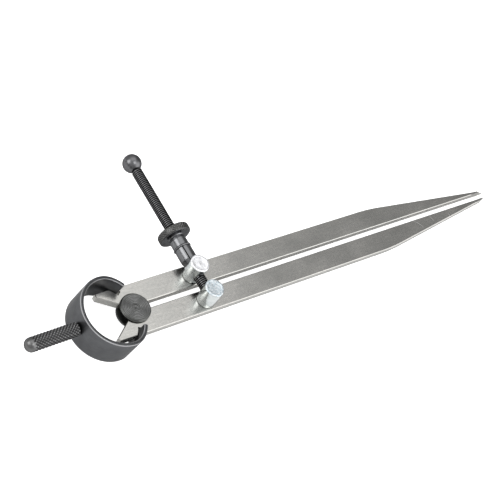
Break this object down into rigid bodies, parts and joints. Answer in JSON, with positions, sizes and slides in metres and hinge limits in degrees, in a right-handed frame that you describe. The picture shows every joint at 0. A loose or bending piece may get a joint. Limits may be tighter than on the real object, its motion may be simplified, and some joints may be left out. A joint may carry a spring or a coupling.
{
  "type": "spring divider",
  "caption": "Spring divider with flat pointed steel legs on a roller fulcrum, a bow spring with a knurled handle, and a screw with a quick-acting split nut.",
  "frame": {"origin": "centre of the roller's back face, on the legs' turning axis", "axes": "+X along the legs to their points, +Y towards the left leg, which carries the nut's pillar, +Z out of the front"},
  "size_m": [0.2531, 0.0782, 0.0193],
  "materials": {
    "roller_steel": "turned and blackened",
    "ground_steel": "satin ground",
    "bow_black": "black oxide",
    "knurled_black": "black oxide, knurled",
    "zinc_plate": "bright zinc plate",
    "thread_black": "black oxide thread",
    "ball_black": "black oxide, polished",
    "nut_black": "black oxide, turned"
  },
  "bodies": {
    "head": {"fulcrum_roller": "roller_steel", "bow_spring": "bow_black", "handle": "knurled_black"},
    "left_leg": {"leg_left": "ground_steel"},
    "right_leg": {"leg_right": "ground_steel"},
    "left_post": {"pillar_left": "zinc_plate", "pillar_washer_left": "zinc_plate"},
    "right_post": {"pillar_right": "zinc_plate", "pillar_washer_right": "zinc_plate", "adjusting_screw": "thread_black", "screw_ball": "ball_black"},
    "nut": {"nut_head": "nut_black", "nut_ring": "nut_black"},
    "near_jaw": {"nut_jaw_near": "nut_black"},
    "far_jaw": {"nut_jaw_far": "nut_black"}
  },
  "joints": [
    {"name": "left_leg_turn", "type": "hinge", "parent": "head", "child": "left_leg", "pos_m": [0, 0, 0.0029], "axis": [0, 0, 1], "range_deg": [-0.2, 28], "deforming": ["bow_spring"]},
    {"name": "right_leg_turn", "type": "hinge", "parent": "head", "child": "right_leg", "pos_m": [0, 0, 0.0029], "axis": [0, 0, 1], "range_deg": [-28, 0.2]},
    {"name": "left_pillar_turn", "type": "hinge", "parent": "left_leg", "child": "left_post", "pos_m": [0.03028, 0.00581, 0.0046], "axis": [0, 0, 1], "range_deg": [-28, 0.2]},
    {"name": "right_pillar_turn", "type": "hinge", "parent": "right_leg", "child": "right_post", "pos_m": [0.03028, -0.00581, 0.0046], "axis": [0, 0, 1], "range_deg": [-0.2, 28]},
    {"name": "nut_spin", "type": "hinge", "parent": "left_post", "child": "nut", "pos_m": [0.03028, 0.0202, 0.0086], "axis": [0, 1, 0], "continuous": true},
    {"name": "near_jaw_spread", "type": "slide", "parent": "nut", "child": "near_jaw", "axis": [-0.9063, 0, -0.4226], "range_m": [0, 0.00025], "stiffness_N_per_m": 200},
    {"name": "far_jaw_spread", "type": "slide", "parent": "nut", "child": "far_jaw", "axis": [0.9063, 0, 0.4226], "range_m": [0, 0.00025], "stiffness_N_per_m": 200}
  ],
  "couplings": [
    {"joint": "right_leg_turn", "follows": "left_leg_turn", "ratio": -1},
    {"joint": "left_pillar_turn", "follows": "left_leg_turn", "ratio": -1},
    {"joint": "right_pillar_turn", "follows": "left_leg_turn", "ratio": 1},
    {"joint": "far_jaw_spread", "follows": "near_jaw_spread", "ratio": 1}
  ]
}
